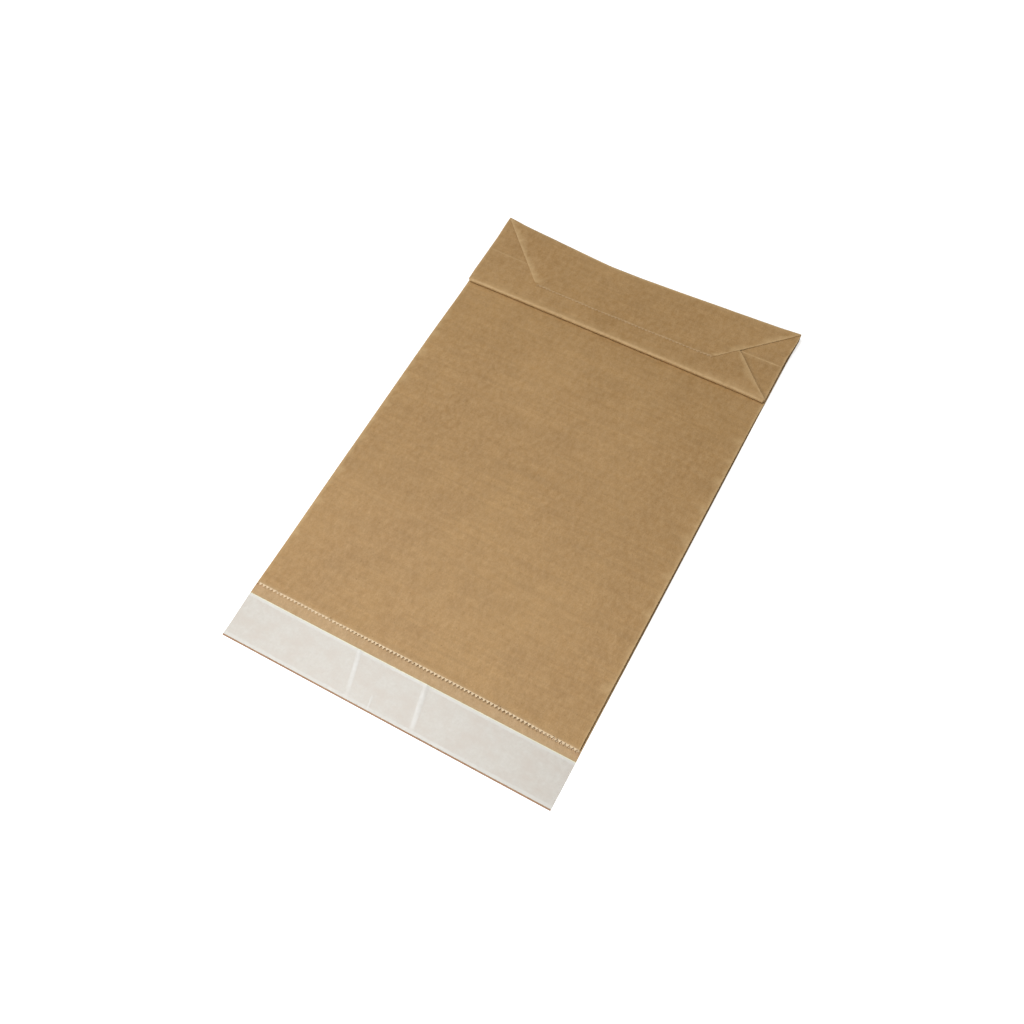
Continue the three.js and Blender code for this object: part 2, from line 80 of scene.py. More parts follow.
# Node helpers
class Tree:
    """Short ways to build one material's nodes."""

    def __init__(self, name):
        self.material = bpy.data.materials.new(name)
        self.material.use_nodes = True
        self.tree = self.material.node_tree
        self.tree.nodes.clear()
        self.out = self.add("ShaderNodeOutputMaterial")

    def add(self, kind, **values):
        node = self.tree.nodes.new(kind)
        for key, value in values.items():
            setattr(node, key, value)
        return node

    def put(self, socket, value):
        if isinstance(value, bpy.types.NodeSocket):
            self.tree.links.new(value, socket)
        else:
            socket.default_value = value

    def place(self, scale=(1, 1, 1), turn=0):
        if not hasattr(self, "coordinates"):
            self.coordinates = self.add("ShaderNodeTexCoord").outputs["Object"]
        node = self.add("ShaderNodeMapping")
        self.put(node.inputs["Vector"], self.coordinates)
        node.inputs["Scale"].default_value = scale
        node.inputs["Rotation"].default_value = (0, 0, turn)
        return node.outputs[0]

    def noise(self, vector, scale, detail=3, rough=0.55):
        node = self.add("ShaderNodeTexNoise")
        self.put(node.inputs["Vector"], vector)
        node.inputs["Scale"].default_value = scale
        node.inputs["Detail"].default_value = detail
        node.inputs["Roughness"].default_value = rough
        return node.outputs["Fac"]

    def range(self, value, a, b, c, d, smooth=False):
        node = self.add("ShaderNodeMapRange")
        if smooth:
            node.interpolation_type = "SMOOTHSTEP"
        self.put(node.inputs["Value"], value)
        for key, v in zip(("From Min", "From Max", "To Min", "To Max"), (a, b, c, d)):
            node.inputs[key].default_value = v
        return node.outputs["Result"]

    def math(self, kind, a, b=0.0):
        node = self.add("ShaderNodeMath", operation=kind)
        self.put(node.inputs[0], a)
        self.put(node.inputs[1], b)
        return node.outputs[0]

    def mix(self, factor, a, b, kind="MIX"):
        node = self.add("ShaderNodeMix", data_type="RGBA", blend_type=kind)
        self.put(node.inputs[0], factor)
        self.put(node.inputs[6], a)
        self.put(node.inputs[7], b)
        return node.outputs[2]

    def bright(self, color, value):
        """The colour times a value."""
        node = self.add("ShaderNodeVectorMath", operation="SCALE")
        self.put(node.inputs[0], color)
        self.put(node.inputs["Scale"], value)
        return node.outputs[0]

    def mask(self, name):
        return self.add("ShaderNodeAttribute", attribute_name=name).outputs["Fac"]

    def bump(self, height, strength, distance, normal=None):
        node = self.add("ShaderNodeBump")
        node.inputs["Strength"].default_value = strength
        node.inputs["Distance"].default_value = distance
        self.put(node.inputs["Height"], height)
        if normal is not None:
            self.put(node.inputs["Normal"], normal)
        return node.outputs["Normal"]

    def surface(self, color, roughness, normal, **constants):
        node = self.add("ShaderNodeBsdfPrincipled")
        self.put(node.inputs["Base Color"], color)
        self.put(node.inputs["Roughness"], roughness)
        self.put(node.inputs["Normal"], normal)
        for key, value in constants.items():
            node.inputs[key.replace("_", " ")].default_value = value
        self.tree.links.new(node.outputs[0], self.out.inputs["Surface"])
        return self.material


def kraft(name, base, dark, light, cut_color, gloss):
    """Brown kraft paper: clouds, flocs, fibres along the sheet, specks, cut edges, and pale creases,
    which are partly worn paper and partly a painted highlight on the round fold rims.
    """
    t = Tree(name)
    plain = t.place()
    along = t.place((1, 0.55, 1))
    across = t.place((0.3, 1, 1), 0.5)
    clouds = t.noise(t.place((1, 0.6, 1), 0.6), 16, 3, 0.5)
    flocs = t.noise(t.place((1, 0.62, 1), 0.1), 240, 4, 0.66)
    fibres = t.noise(along, 1150, 3, 0.7)
    ribs = t.noise(t.place((0.03, 1, 1)), 360, 2, 0.5)
    patches = t.noise(t.place((1, 0.8, 1), 0.4), 58, 3, 0.6)
    stray = t.noise(across, 900, 2, 0.6)
    color = t.mix(t.range(clouds, 0.3, 0.7, 0, 1), dark, base)
    color = t.mix(t.range(flocs, 0.33, 0.68, 0, 0.64), color, light)
    color = t.bright(color, t.range(patches, 0.3, 0.7, 0.962, 1.038))
    color = t.bright(color, t.range(fibres, 0.25, 0.75, 0.87, 1.13))
    color = t.bright(color, t.range(ribs, 0.3, 0.7, 0.955, 1.045))
    color = t.mix(t.range(stray, 0.68, 0.78, 0, 0.35), color, light)
    specks = t.noise(plain, 620, 1, 0.5)
    color = t.mix(t.range(specks, 0.735, 0.78, 0, 0.4), color, linear(112, 80, 50))
    # The crease mask paints the round folds paler: partly worn paper, partly a painted highlight on
    # their lit rims.
    crease = t.mask("crease")
    wear_and_highlight = t.math("MULTIPLY", crease, t.range(t.noise(plain, 320, 2), 0.3, 0.7, 0.55, 1))
    color = t.mix(wear_and_highlight, color, linear(208, 177, 130))
    # The cut mask paints the cut colour: pale paper at the outside's teeth, and on the inside a painted
    # shade along the flap's end.
    cut = t.math("MULTIPLY", t.mask("cut"), t.range(t.noise(plain, 900, 2), 0.3, 0.7, 0.6, 1))
    color = t.mix(cut, color, cut_color)
    rough = t.range(t.math("ADD", clouds, flocs), 0.6, 1.4, gloss - 0.05, gloss + 0.07)
    height = t.math("ADD", t.math("MULTIPLY", flocs, 0.6), t.math("MULTIPLY", fibres, 0.4))
    normal = t.bump(height, 0.35, 0.0001)
    normal = t.bump(stray, 0.12, 0.00005, normal)
    return t.surface(color, rough, normal, Specular_IOR_Level=0.22)


KRAFT_BASE = linear(172, 136, 88)
KRAFT_DARK = linear(161, 125, 78)
KRAFT_LIGHT = linear(185, 151, 106)
outer_paper = kraft("kraft_outer", KRAFT_BASE, KRAFT_DARK, KRAFT_LIGHT, linear(232, 209, 174), 0.5)
# The inside's cut colour, dark and reddish, is painted shade on the flap's end edge and just beside it.
inner_paper = kraft("kraft_inner", linear(183, 152, 112), linear(175, 143, 103), linear(196, 167, 129),
                    linear(140, 94, 80), 0.6)
cut_paper = kraft("kraft_cut", linear(198, 166, 120), linear(184, 150, 106), linear(212, 184, 142),
                  linear(202, 170, 126), 0.8)


def edited(node, name):
    """A copy of a node's mesh as a new object, with its points merged."""
    mesh = nodes[node].data.copy()
    mesh.name = name
    mesh.materials.clear()
    piece = bpy.data.objects.new(name, mesh)
    bpy.context.scene.collection.objects.link(piece)
    bm = bmesh.new()
    bm.from_mesh(mesh)
    bmesh.ops.remove_doubles(bm, verts=bm.verts, dist=1e-6)
    bmesh.ops.triangulate(bm, faces=bm.faces)
    return piece, bm


def divide(bm, chosen, rounds):
    """Halves the edges that chosen() picks, until it picks none."""
    for _ in range(rounds):
        edges = chosen(bm)
        if not edges:
            return
        bmesh.ops.subdivide_edges(bm, edges=edges, cuts=1)
        bmesh.ops.triangulate(bm, faces=[f for f in bm.faces if len(f.verts) > 3])


def near_flagged(bm, layer, longest):
    """The long edges of the faces that touch a point with this flag."""
    return list({e for v in bm.verts if v[layer] > FLAGGED for f in v.link_faces for e in f.edges
                 if e.calc_length() > longest})


def spread(bm, sources, reach):
    """The distance along the mesh from the source points, as far as reach."""
    found = {v.index: 0.0 for v in sources}
    queue = [(0.0, v.index) for v in sources]
    heapq.heapify(queue)
    while queue:
        d, i = heapq.heappop(queue)
        if d > found[i]:
            continue
        v = bm.verts[i]
        for e in v.link_edges:
            o = e.other_vert(v)
            n = d + e.calc_length()
            if n < reach and n < found.get(o.index, reach):
                found[o.index] = n
                heapq.heappush(queue, (n, o.index))
    return found


def add_mask(mesh, name, values):
    """Keeps one value a point, for a material to read."""
    attribute = mesh.attributes.new(name, "FLOAT", "POINT")
    attribute.data.foreach_set("value", values)


def finish_mesh(piece, bm):
    """Writes the mesh back, smooth, with normals that follow its large faces."""
    mesh = piece.data
    for face in bm.faces:
        face.smooth = True
    bm.to_mesh(mesh)
    bm.free()
    even = piece.modifiers.new("even_normals", "WEIGHTED_NORMAL")
    even.keep_sharp = True
    even.mode = "FACE_AREA_WITH_ANGLE"
    even.weight = 60


# The kraft sheet
# The CAD sheet lies in its resting shape. It is taken back to its stack of flat layers, divided
# finely there, and given a more detailed resting shape. Places are x and s, the distance from the
# far fold, in millimetres, and a height in the stack, where layer k lies at k times SPACING.

# Half the width, the gusset's depth, the near fold, the mouth, the flap's end and the flaps' depth.
HALF = 150.0
SQUARE = 41.0
BLOCK = 2 * SQUARE
MOUTH = 440.0
TOTAL = 490.0
TURN_IN = 61.0
CUT_X = HALF - TURN_IN
PAPER = 0.2
SPACING = 0.4
LAYERS = 12
BACK, LOWER_LEAF, UPPER_LEAF, FRONT, TURNED = 0, 1, 2, 3, 4
SIDE_FLAPS, NEAR_TUCKS, NEAR_FLAP, FAR_TUCKS, FAR_FLAP = 7, 8, 9, 10, 11

# The CAD's resting shape, which flat_stack() undoes: heights of the top, and the far fold's dip.
FAR_MIDDLE, FAR_LEFT, FAR_RIGHT = 1.6, 10.0, 7.8
NEAR_FOLD, MOUTH_RISE, MOUTH_TILT, MOUTH_SAG = 5.7, 2.9, 0.35, 0.7
CROWN, CROWN_MIDDLE = 1.1, 0.7
DIP_X, DIP_DEPTH, DIP_ROUND = -29.0, 4.1, 0.11

# What the detailed shape adds. Lengths are in millimetres, and the rest are shares and factors.
LEAST_AIR = 0.015
# The panel's rise past the near fold, layer by layer, and how soon it comes.
EARLY_RISE, EARLY_REACH = 0.85, 9.0
# How far the near fold is shut on the panel, and how much looser it is inside.
NEAR_SHUT, NEAR_LOOSE = 0.85, 0.24
# How far the near flap's right corner and the far flap's left one stand up.
NEAR_CORNER, FAR_CORNER = 0.8, 0.2
# The share of the freed air that goes below the turned-back stretch.
BELLY = 0.45
GUSSET_SHUT = 0.85
# How far the mouth is shut on the left, and lowered on the right.
MOUTH_SHUT, MOUTH_LOWER = 0.9, 0.3
PINCH = 2.1
# The teeth: half the band that they lie in, their stretch, and how far their tips stand up.
TOOTH, TOOTH_STRETCH, TIP_LIFT = 1.9, 1.5, 0.45
# How much longer the mouth's right end is cut, and how far the flap's end stands out.
CUT_SLANT, FLAP_PROUD = 1.8, 0.35
# The stretch of the near fold that is drawn out, and how much.
RING_START, RING_END, RING_STRETCH = 80.9, 83, 1.8
# How far the side folds stand in: on the left, on the right, more at the mouth, and in the block.
INSET_LEFT, INSET_RIGHT, INSET_MOUTH, INSET_TOP = 0.3, 0.9, 0.5, 1.1
THINNED = 0.7
RIDGE, RIDGE_WIDTH = 0.2, 0.6
WAVE, WAVE_FINE = 0.3, 0.45

# The longest edges after dividing: at the cuts, on the side creases, where the sheet shows, elsewhere.
CUT_GRID, CREASE_GRID, SHOWN_GRID, HIDDEN_GRID = 1.6, 3, 11, 40
# The reach of the masks, and how strong they are where a crease or a cut shows less.
CUT_FADE, CREASE_FADE, SIDE_CREASE_WIDTH = 0.7, 0.9, 0.5
FAR_CUT_SHARE, NEAR_CREASE_SHARE = 0.3, 0.15
SIDE_CREASE_LEFT, SIDE_CREASE_RIGHT = 0.45, 0.8
FLAGGED = 0.99


def level(layer):
    """The height of a layer's underside in the flat stack."""
    return layer * SPACING


def in_layer(stack, layer, slack=0.01):
    """Whether a height in the stack, or each of several, lies in this layer's paper."""
    return (level(layer) - slack < stack) & (stack < level(layer) + PAPER + slack)


def smooth(a, b, v):
    """Goes smoothly from 0 at a to 1 at b."""
    t = np.clip((v - a) / (b - a), 0, 1)
    return t * t * (3 - 2 * t)


def papers(x, s):
    """Each layer's paper at these places, next to nothing where the layer is missing."""
    wide = np.abs(x)
    gusset = smooth(HALF - SQUARE - 17, HALF - SQUARE - 3, wide)
    sides = smooth(CUT_X - 17, CUT_X - 3, wide)
    doubled = smooth(SQUARE - 12, SQUARE - 1, s)
    near = smooth(6, BLOCK - TURN_IN - 2, s)
    all_over = np.ones_like(x)
    present = (all_over, gusset, gusset * doubled, doubled, doubled, gusset * doubled, gusset,
               sides, sides, near, sides, all_over)
    return [PAPER * np.maximum(0.1, p) for p in present]


def from_dip(x):
    """The distance across from the far fold's lowest point, as a share, rounded at that point."""
    reach = np.where(x < DIP_X, HALF + DIP_X, HALF - DIP_X)
    return np.hypot((x - DIP_X) / reach, DIP_ROUND) - DIP_ROUND


def closed_air(x, s):
    """The air between neighbouring layers of the folded block."""
    corner = np.where(x < DIP_X, FAR_LEFT, FAR_RIGHT)
    far = FAR_MIDDLE + (1 + DIP_ROUND) * (corner - FAR_MIDDLE) * from_dip(x)
    top = far + (NEAR_FOLD - far) * np.clip(s / BLOCK, 0, 1)
    return (top - sum(papers(x, s))) / (LAYERS - 1)


def air(x, s):
    """The air between neighbouring layers."""
    across = x / HALF
    along = (s - BLOCK) / (MOUTH - BLOCK)
    hump = 1 - across * across
    crown = CROWN * np.sin(np.pi * along) * (1 + CROWN_MIDDLE * hump)
    top = MOUTH_RISE + MOUTH_TILT * across - MOUTH_SAG * hump + crown
    opened = (top - sum(papers(x, s)[:4])) / 3
    at_fold = closed_air(x, np.full_like(s, BLOCK))
    share = smooth(BLOCK, BLOCK + 80, s)
    return np.where(s <= BLOCK, closed_air(x, s), at_fold + (opened - at_fold) * share)


def sideways(s):
    """How far the resting sheet is spread and shifted across."""
    bulge = smooth(-60, 75, s) * smooth(340, 75, s)
    spread = 0.7 * smooth(TOTAL, MOUTH, s) + 0.7 * bulge + 0.8 * smooth(30, 0, s)
    return spread, 0.8 * smooth(TOTAL, MOUTH - 10, s) + bulge


def dip(x, s):
    """How far the far fold draws in."""
    return DIP_DEPTH * np.maximum(0, 1 - from_dip(x)) * (1 - smooth(0, 50, s))


def flat_stack(points):
    """The places in the flat stack of points at rest: x, s and the height in the stack."""
    across, away, height = points.T
    x, s = across.copy(), -away
    for _ in range(40):
        spread, drift = sideways(s)
        x = (across + drift) / (1 + spread / HALF)
        s = -(away + dip(x, s))
    gap = air(x, s)
    stack = np.zeros_like(x)
    low = np.zeros_like(x)
    for k, paper in enumerate(papers(x, s)):
        top = low + paper
        inside = PAPER * np.clip((height - low) / paper, 0, 1)
        above = PAPER + (SPACING - PAPER) * np.clip((height - top) / gap, 0, 1)
        stack = np.where(height >= low - 1e-3, level(k) + np.where(height <= top, inside, above), stack)
        low = top + gap
    near = np.round(stack / PAPER) * PAPER
    stack = np.where(np.abs(stack - near) < 0.004, near, stack)
    return np.stack([x, s, stack], 1)


def shut(found, layer, share):
    """Takes this share of the air above a layer, and gives back what it took."""
    taken = share * found[layer]
    found[layer] = found[layer] - taken
    return taken


def set_block_air(found, x, s):
    """Shares out the air in the folded block."""
    # Under the block the air gathers inside its near fold, which lies on the panel.
    near = smooth(48, 80, s) * smooth(84, 82.5, s)
    shut(found, FRONT, NEAR_SHUT * near)
    for layer in range(TURNED, NEAR_FLAP):
        found[layer] = found[layer] + NEAR_LOOSE * near
    # The upper flaps lie close on each other, and the air is below them.
    block = smooth(BLOCK + 2, BLOCK - 3, s)
    beside = smooth(CUT_X - 8, CUT_X + 6, np.abs(x))
    left_tuck = smooth(-84, -96, x)
    freed = shut(found, NEAR_FLAP, block * (0.8 - 0.4 * left_tuck))
    freed = freed + shut(found, FAR_TUCKS, block * (0.92 - 0.2 * left_tuck))
    # The near flap's edge shows on the right, and the left one lies flat.
    left = smooth(-60, -90, x)
    share = block * beside * np.maximum(0.93 * left, 0.85 * smooth(44, 34, s))
    for layer in (SIDE_FLAPS, NEAR_TUCKS):
        freed = freed + shut(found, layer, share)
    # The near flap's right corner stands up a little, and the far flap's left edge casts a line.
    near_corner = beside * smooth(40, 46, s) * smooth(82, 74, s) * (x > 0)
    far_corner = beside * smooth(44, 38, s) * smooth(2, 12, s) * (x < 0)
    found[SIDE_FLAPS] = found[SIDE_FLAPS] + NEAR_CORNER * near_corner
    found[NEAR_TUCKS] = found[NEAR_TUCKS] + FAR_CORNER * far_corner
    below = BELLY * np.sin(np.pi * np.clip(s / BLOCK, 0, 1))
    found[TURNED + 1] = found[TURNED + 1] + freed * (1 - below)
    found[FRONT] = found[FRONT] + freed * below


def set_body_air(found, x, s):
    """Shares out the air below the front panel, in and around the gusset."""
    whole = found[BACK]
    # Past the near fold the panel rises at once.
    early = 1 - np.exp(-np.maximum(0, s - BLOCK) / EARLY_REACH)
    early = early * (1 - smooth(BLOCK + 30, BLOCK + 160, s))
    for layer in range(FRONT):
        found[layer] = found[layer] + EARLY_RISE * early * (1 - 0.8 * (x / HALF) ** 4)
    # The gusset opens at the sides and is shut along its inner crease.
    side = GUSSET_SHUT * smooth(112, 146, np.abs(x)) * smooth(BLOCK + 2, BLOCK + 24, s)
    shut(found, BACK, side)
    shut(found, UPPER_LEAF, side)
    found[LOWER_LEAF] = found[LOWER_LEAF] + 2 * whole * side
    # The mouth stands open on its right, and its left half lies nearly shut.
    mouth = smooth(300, MOUTH, s)
    for layer in range(FRONT):
        shut(found, layer, MOUTH_SHUT * mouth * smooth(10, -90, x))
        shut(found, layer, MOUTH_LOWER * mouth * smooth(-70, 60, x))


def gaps(x, s):
    """The air above each layer but the last, as it shows in the photograph."""
    found = [air(x, s) for _ in range(LAYERS - 1)]
    set_block_air(found, x, s)
    set_body_air(found, x, s)
    return [np.maximum(LEAST_AIR, gap) for gap in found]


def drawn_out(x, s, stack):
    """Moves places within their layers: fold ends, teeth, the flap's end and the side folds."""
    wide = np.abs(x)
    above_back = stack > 0.3
    # The ends of the two outer folds are pinched out to the corners.
    for corner_s, reach, step, start in ((0, 22, -1.6, 0.25), (BLOCK, 14, 0.5, 1.6)):
        pull = 1 - smooth(0, reach, np.hypot(HALF - wide, s - corner_s))
        pull = pull * smooth(start - 0.01, start + 0.6, stack) * (s < BLOCK + 1)
        wide = np.maximum(wide, np.minimum(wide + PINCH * pull, HALF - 0.2))
        moved = s + step * pull
        if step < 0:
            moved = np.minimum(s, np.maximum(moved, 0.1))
        else:
            moved = np.maximum(s, np.minimum(moved, BLOCK + 0.2))
        s = np.where(pull > 0, moved, s)
    # The teeth at the mouth are cut deep.
    s = np.where((np.abs(s - MOUTH) < TOOTH) & above_back, MOUTH + (s - MOUTH) * TOOTH_STRETCH, s)
    # The mouth's right end is cut a little longer.
    slant = CUT_SLANT * smooth(40, HALF, x) * smooth(MOUTH - 60, MOUTH, s)
    s = np.where(above_back, s + slant, s)
    # The flap's end stands out from under the liner.
    s = np.where((s > TOTAL - 0.3) & ~above_back, s + FLAP_PROUD, s)
    # The near fold is rounder than the stack.
    ring = (stack > level(TURNED) - 0.01) & (s > RING_START) & (s < RING_END)
    s = np.where(ring, RING_START + (s - RING_START) * RING_STRETCH, s)
    # The side folds above the lower gusset leaf stand a little inside the back panel's.
    upper = smooth(0.62, 0.78, stack) * smooth(BLOCK + 1, BLOCK + 14, s)
    inset = np.where(x > 0, INSET_RIGHT + INSET_MOUTH * smooth(250, MOUTH, s), INSET_LEFT)
    on_top = smooth(1.38, 1.62, stack) * smooth(8, 38, s) * (x > 0)
    wide = wide - (inset * upper + INSET_TOP * on_top) * smooth(60, HALF, wide)
    return np.sign(x) * wide, s


def resting_height(x, s, stack):
    """The height at rest of places in the flat stack."""
    paper, gap = papers(x, s), gaps(x, s)
    # The near flap and its tucks are thin where they would show through.
    beside = smooth(CUT_X - 8, CUT_X + 6, np.abs(x)) * smooth(44, 34, s)
    thin = 1 - THINNED * np.maximum(smooth(-84, -96, x), beside)
    for k in (NEAR_TUCKS, NEAR_FLAP):
        paper[k] = paper[k] * thin
    layer = np.minimum(LAYERS - 1, np.floor(stack / SPACING + 1e-3)).astype(int)
    z = np.zeros_like(x)
    for k in range(LAYERS):
        inside = np.clip(stack - level(k), 0, SPACING)
        part = np.clip(inside / PAPER, 0, 1) * paper[k]
        z += np.where(layer > k, paper[k], np.where(layer == k, part, 0))
        if k < LAYERS - 1:
            part = np.clip((inside - PAPER) / (SPACING - PAPER), 0, 1) * gap[k]
            z += np.where(layer > k, gap[k], np.where(layer == k, part, 0))
    # The flattened crease across each side flap.
    side_flap = in_layer(stack, SIDE_FLAPS) & (np.abs(x) > CUT_X)
    return z + np.where(side_flap, RIDGE * np.exp(-((s - SQUARE) / RIDGE_WIDTH) ** 2), 0)


def rest(flat):
    """The detailed resting shape of places in the flat stack."""
    x, s = drawn_out(*flat.T)
    z = resting_height(x, s, flat[:, 2])
    spread, drift = sideways(s)
    return np.stack([x * (1 + spread / HALF) - drift, -s - dip(x, s), z], 1)


def sheet_place(bm):
    """Where the flat stack has its origin, in millimetres, from the closing flap's end."""
    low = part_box("paper_bag")[0]
    end = [v.co.x for v in bm.verts if v.co.y < low.y + 0.5 * MM]
    return np.array([(min(end) + max(end)) / 2, low.y + TOTAL * MM, 0]) / MM


def flag_edges(bm):
    """Marks the points of the cut edges that show and of the round folds."""
    cut = bm.verts.layers.float.new("cut")
    crease = bm.verts.layers.float.new("crease")
    for v in bm.verts:
        x, s, stack = v.co.x, -v.co.y, v.co.z
        at_mouth = abs(s - MOUTH) < TOOTH and stack > 0.3
        at_flap = s > TOTAL - 0.1
        on_far_flap = stack > level(FAR_FLAP) - 0.01 and abs(x) < CUT_X + 0.5
        at_far_cut = abs(s - TURN_IN) < TOOTH and on_far_flap
        v[cut] = float(at_mouth or at_flap or at_far_cut)
        v[crease] = float(abs(stack / PAPER - round(stack / PAPER)) > 0.02)
    return cut, crease


def refine_sheet(bm, cut):
    """Divides the sheet: finely at its cuts and side creases, and well where it shows."""
    def shows(v):
        upper_flaps = level(SIDE_FLAPS) - 0.01 < v.co.z < level(FAR_FLAP) + PAPER + 0.01
        return upper_flaps or in_layer(v.co.z, BACK) or in_layer(v.co.z, FRONT)

    def longest(edge):
        return SHOWN_GRID if shows(edge.verts[0]) and shows(edge.verts[1]) else HIDDEN_GRID

    def on_side_crease(v):
        near_line = abs(v.co.y + SQUARE) < 2.6 and abs(v.co.x) > CUT_X + 8
        return near_line and in_layer(v.co.z, SIDE_FLAPS)

    def crosses(face, line):
        places = [v.co.y for v in face.verts]
        on_flap = all(in_layer(v.co.z, SIDE_FLAPS) and abs(v.co.x) > CUT_X - 2 for v in face.verts)
        return on_flap and min(places) < -line < max(places)

    divide(bm, lambda m: near_flagged(m, cut, CUT_GRID), 6)
    divide(bm, lambda m: [e for e in m.edges if e.calc_length() > longest(e)], 8)
    divide(bm, lambda m: [e for e in m.edges if e.calc_length() > CREASE_GRID
                          and on_side_crease(e.verts[0]) and on_side_crease(e.verts[1])], 4)
    for line in (SQUARE - 0.7, SQUARE, SQUARE + 0.7):
        faces = {f for f in bm.faces if crosses(f, line)}
        edges = {e for f in faces for e in f.edges}
        points = {v for f in faces for v in f.verts}
        bmesh.ops.bisect_plane(bm, geom=[*faces, *edges, *points], dist=1e-5,
                               plane_co=(0, -line, 0), plane_no=(0, 1, 0))
    bmesh.ops.triangulate(bm, faces=[f for f in bm.faces if len(f.verts) > 3])


OUTSIDE, INSIDE, CUT_EDGE = 0, 1, 2
# The heights at which the paper's inner side faces up, and those at which it faces down.
INNER_FLOORS = (level(BACK) + PAPER, level(UPPER_LEAF) + PAPER)
INNER_CEILINGS = (level(LOWER_LEAF), level(FRONT))


def choose_papers(bm, cut):
    """Gives each face the paper's outside, its inside or a cut edge, and marks the sharp edges."""
    bm.normal_update()
    for e in bm.edges:
        e.smooth = e.calc_face_angle(0) < math.radians(65)
    for face in bm.faces:
        middle = face.calc_center_median().z
        up = face.normal.z
        inner = INNER_FLOORS if up > 0 else INNER_CEILINGS
        if abs(up) < 0.3 and min(v[cut] for v in face.verts) > FLAGGED:
            # The flap's end edge takes the inside paper, whose cut colour paints it in shade.
            if face.verts[0].co.y < -TOTAL + 1:
                face.material_index = INSIDE
            elif middle > level(FAR_FLAP) - 0.1:
                # The far flap's cut is so thin that it keeps the colour of the outside.
                face.material_index = OUTSIDE
            else:
                face.material_index = CUT_EDGE
        elif abs(up) > 0.5 and any(abs(middle - height) < 0.03 for height in inner):
            face.material_index = INSIDE


def tip_lift(x, s):
    """The tips of the teeth stand up a little, each by its own amount."""
    return TIP_LIFT * max(0.0, noise.noise(Vector((x * 0.42, 0.3, 1.0)))) * max(0, 1 + s - MOUTH)


def unevenness(x, y, stack):
    """The sheet's slight waves, which fade out towards the floor."""
    wave = noise.noise(Vector((x * 0.012 + 3.1, y * 0.009, 0.4)))
    wave += WAVE_FINE * noise.noise(Vector((x * 0.028, y * 0.022 + 1.7, 2.2)))
    return WAVE * wave * min(1.0, max(0.0, (stack - 0.45) / 0.7))


def shape_sheet(bm, cut, crease, shift):
    """Puts the flat sheet into its resting shape and turns the flags into soft masks."""
    bm.verts.index_update()
    bm.verts.ensure_lookup_table()
    cuts = spread(bm, [v for v in bm.verts if v[cut] > FLAGGED], 3)
    folds = spread(bm, [v for v in bm.verts if v[crease] > FLAGGED], 4)
    shaped = rest(np.array([(v.co.x, -v.co.y, v.co.z) for v in bm.verts]))
    for v, place in zip(bm.verts, shaped):
        x, y, stack = v.co
        place = Vector(place)
        if v[cut] > FLAGGED and in_layer(stack, FRONT, 0.1):
            place.z += tip_lift(x, -y)
        place.z += unevenness(x, y, stack)
        v.co = (place + Vector(shift)) * MM
        v[cut] = math.exp(-cuts[v.index] / CUT_FADE) if v.index in cuts else 0.0
        if stack > level(FAR_FLAP) - 0.1:
            v[cut] *= FAR_CUT_SHARE
        # The crease mask is partly worn paper and partly a painted highlight along the fold rims.
        v[crease] = math.exp(-folds[v.index] / CREASE_FADE) if v.index in folds else 0.0
        above_side_flaps = level(SIDE_FLAPS) + 0.3 < stack < level(FAR_FLAP) - 0.1
        if above_side_flaps and x < -CUT_X + 6 and -y < BLOCK - 1.5:
            v[crease] *= NEAR_CREASE_SHARE
        if in_layer(stack, SIDE_FLAPS) and abs(x) > CUT_X:
            pale = SIDE_CREASE_RIGHT if x > 0 else SIDE_CREASE_LEFT
            v[crease] = max(v[crease], pale * math.exp(-((-y - SQUARE) / SIDE_CREASE_WIDTH) ** 2))


def make_paper():
    """The kraft sheet at rest, and the place of its flat stack."""
    piece, bm = edited("paper_bag", "mailer_paper")
    shift = sheet_place(bm)
    flat = flat_stack(np.array([v.co[:] for v in bm.verts]) / MM - shift)
    for v, (x, s, stack) in zip(bm.verts, flat):
        v.co = (x, -s, stack)
    cut, crease = flag_edges(bm)
    refine_sheet(bm, cut)
    choose_papers(bm, cut)
    shape_sheet(bm, cut, crease, shift)
    finish_mesh(piece, bm)
    for material in (outer_paper, inner_paper, cut_paper):
        piece.data.materials.append(material)
    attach(piece, "root")
    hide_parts("paper_bag")
    return shift


# The release liner and the adhesive
def silicone_paper(low, high):
    """Mottled off-white paper: pale margins, paler air channels and a bright rim at its upper end."""
    t = Tree("silicone_paper")
    plain = t.place()
    axes = t.add("ShaderNodeSeparateXYZ")
    t.put(axes.inputs[0], plain)
    y = axes.outputs["Y"]
    away = t.math("ABSOLUTE", t.math("SUBTRACT", y, (low.y + high.y) / 2))
    wavy = t.math("ADD", away, t.range(t.noise(plain, 260, 2), 0.3, 0.7, -0.0004, 0.0004))
    margin = t.range(wavy, 0.0168, 0.0182, 0, 1, smooth=True)
    mottle = t.noise(plain, 230, 4, 0.65)
    blotch = t.noise(t.place((1, 1.4, 1), 0.3), 60, 3, 0.6)
    color = t.mix(t.range(mottle, 0.3, 0.7, 0, 1), linear(196, 190, 180), linear(208, 204, 196))
    color = t.mix(t.range(blotch, 0.42, 0.66, 0, 0.6), color, linear(197, 187, 176))
    margin = t.math("MULTIPLY", margin, t.range(blotch, 0.3, 0.7, 0.3, 0.9))
    color = t.mix(margin, color, linear(214, 213, 207))
    lift = t.math("MULTIPLY", t.mask("lift"), t.range(blotch, 0.35, 0.65, 0.25, 0.85))
    color = t.mix(lift, color, linear(222, 221, 217))
    rim = t.range(y, high.y - 0.0009, high.y - 0.0003, 0, 0.8)
    color = t.mix(rim, color, linear(230, 229, 192))
    rough = t.range(mottle, 0.3, 0.7, 0.34, 0.5)
    normal = t.bump(t.noise(plain, 900, 3, 0.6), 0.25, 0.00005)
    normal = t.bump(mottle, 0.2, 0.0001, normal)
    return t.surface(color, rough, normal, Specular_IOR_Level=0.4, Coat_Weight=0.1, Coat_Roughness=0.35)


